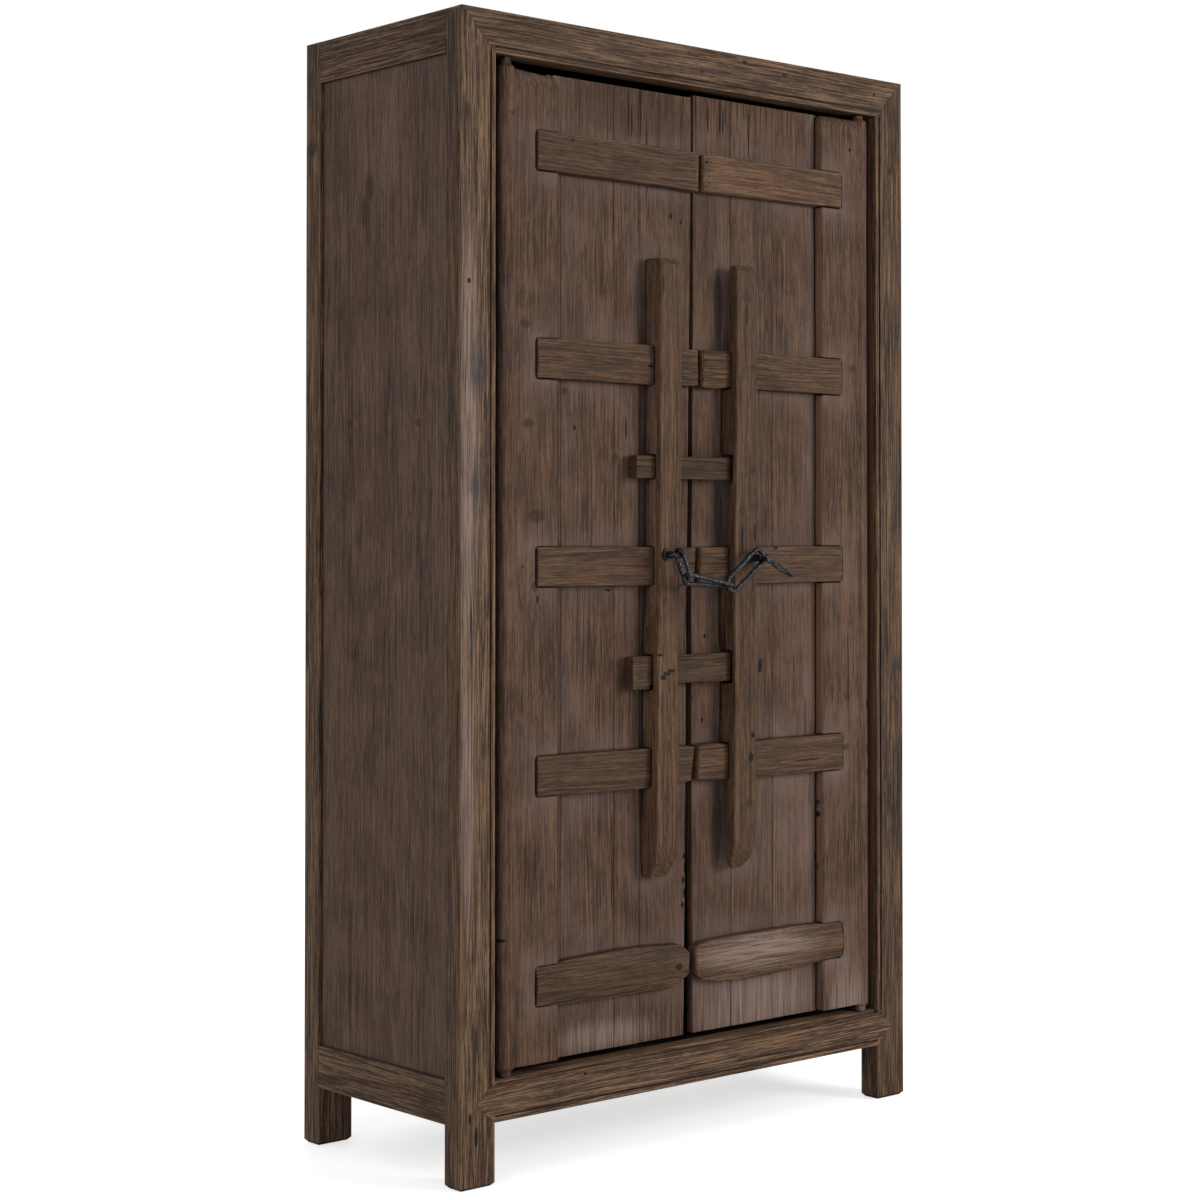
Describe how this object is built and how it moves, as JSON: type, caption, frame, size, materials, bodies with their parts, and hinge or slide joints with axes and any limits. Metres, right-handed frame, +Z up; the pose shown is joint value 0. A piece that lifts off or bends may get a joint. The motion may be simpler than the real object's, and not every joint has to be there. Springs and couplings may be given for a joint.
{
  "type": "chinese book cabinet",
  "caption": "Tall narrow wooden cabinet with plank doors on round wooden pivots, upright grip poles, wooden sliding bolts and an iron chain latch.",
  "frame": {"origin": "on the floor, at the centre of the bounding box's base", "axes": "+X to the right as seen by someone facing the doors, +Y from the doors to the back, +Z up"},
  "size_m": [1.105, 0.5292, 2],
  "materials": {
    "case_wood": "weathered, dry, worn at the edges",
    "door_wood": "weathered, dry, open grain",
    "handled_wood": "smoothed by handling",
    "inner_wood": "raw, aged",
    "iron": "blackened wrought iron with brown rust"
  },
  "bodies": {
    "case": {"back_board_1": "inner_wood", "back_board_2": "inner_wood", "back_board_3": "inner_wood", "back_board_4": "inner_wood", "back_bottom_rail": "case_wood", "back_left_post": "case_wood", "back_middle_rail": "inner_wood", "back_right_post": "case_wood", "back_top_rail": "case_wood", "floor_board": "inner_wood", "front_bottom_rail": "case_wood", "front_left_post": "case_wood", "front_right_post": "case_wood", "front_top_rail": "case_wood", "left_bottom_rail": "case_wood", "left_lower_bearer": "inner_wood", "left_middle_bearer": "inner_wood", "left_side_panel": "case_wood", "left_top_rail": "case_wood", "left_upper_bearer": "inner_wood", "lower_shelf": "inner_wood", "middle_shelf": "inner_wood", "right_bottom_rail": "case_wood", "right_lower_bearer": "inner_wood", "right_middle_bearer": "inner_wood", "right_side_panel": "case_wood", "right_top_rail": "case_wood", "right_upper_bearer": "inner_wood", "top_board": "inner_wood", "upper_shelf": "inner_wood"},
    "left_door": {"left_batten_1": "door_wood", "left_batten_2": "door_wood", "left_batten_3": "door_wood", "left_batten_4": "door_wood", "left_batten_5": "door_wood", "left_door_board_1": "door_wood", "left_door_board_2": "door_wood", "left_door_board_3": "door_wood", "left_pole": "handled_wood", "left_stile": "door_wood", "eye_bolt": "iron"},
    "right_door": {"right_batten_1": "door_wood", "right_batten_2": "door_wood", "right_batten_3": "door_wood", "right_batten_4": "door_wood", "right_batten_5": "door_wood", "right_door_board_1": "door_wood", "right_door_board_2": "door_wood", "right_door_board_3": "door_wood", "right_pole": "handled_wood", "right_stile": "door_wood", "staple": "iron"},
    "upper_bolt": {"upper_bolt": "handled_wood"},
    "lower_bolt": {"lower_bolt": "handled_wood"},
    "link_1": {"chain_link_1": "iron"},
    "link_2": {"chain_link_2": "iron"},
    "hasp": {"hasp": "iron"},
    "hairpin": {"hairpin": "iron"}
  },
  "joints": [
    {"name": "left_door_hinge", "type": "hinge", "parent": "case", "child": "left_door", "pos_m": [-0.4445, -0.1804, 1], "axis": [0, 0, -1], "range_deg": [0, 104]},
    {"name": "right_door_hinge", "type": "hinge", "parent": "case", "child": "right_door", "pos_m": [0.4445, -0.1804, 1], "axis": [0, 0, -1], "range_deg": [-104, 0]},
    {"name": "upper_bolt_slide", "type": "slide", "parent": "left_door", "child": "upper_bolt", "axis": [1, 0, 0], "range_m": [-0.085, 0.025]},
    {"name": "lower_bolt_slide", "type": "slide", "parent": "left_door", "child": "lower_bolt", "axis": [1, 0, 0], "range_m": [-0.085, 0.025]},
    {"name": "chain_link_1_swing", "type": "hinge", "parent": "left_door", "child": "link_1", "pos_m": [-0.0995, -0.2409, 1.067], "axis": [0, 0, -1], "range_deg": [0, 75]},
    {"name": "chain_link_2_lift", "type": "hinge", "parent": "link_1", "child": "link_2", "pos_m": [-0.0821, -0.2519, 1.0237], "axis": [0, 1, 0], "range_deg": [-75, 0]},
    {"name": "hasp_lift", "type": "hinge", "parent": "link_2", "child": "hasp", "pos_m": [0.02925, -0.24971, 1.0101], "axis": [0, -1, 0], "range_deg": [0, 75]},
    {"name": "hairpin_draw", "type": "slide", "parent": "right_door", "child": "hairpin", "axis": [0.9011, 0, -0.4337], "range_m": [0, 0.034]}
  ]
}
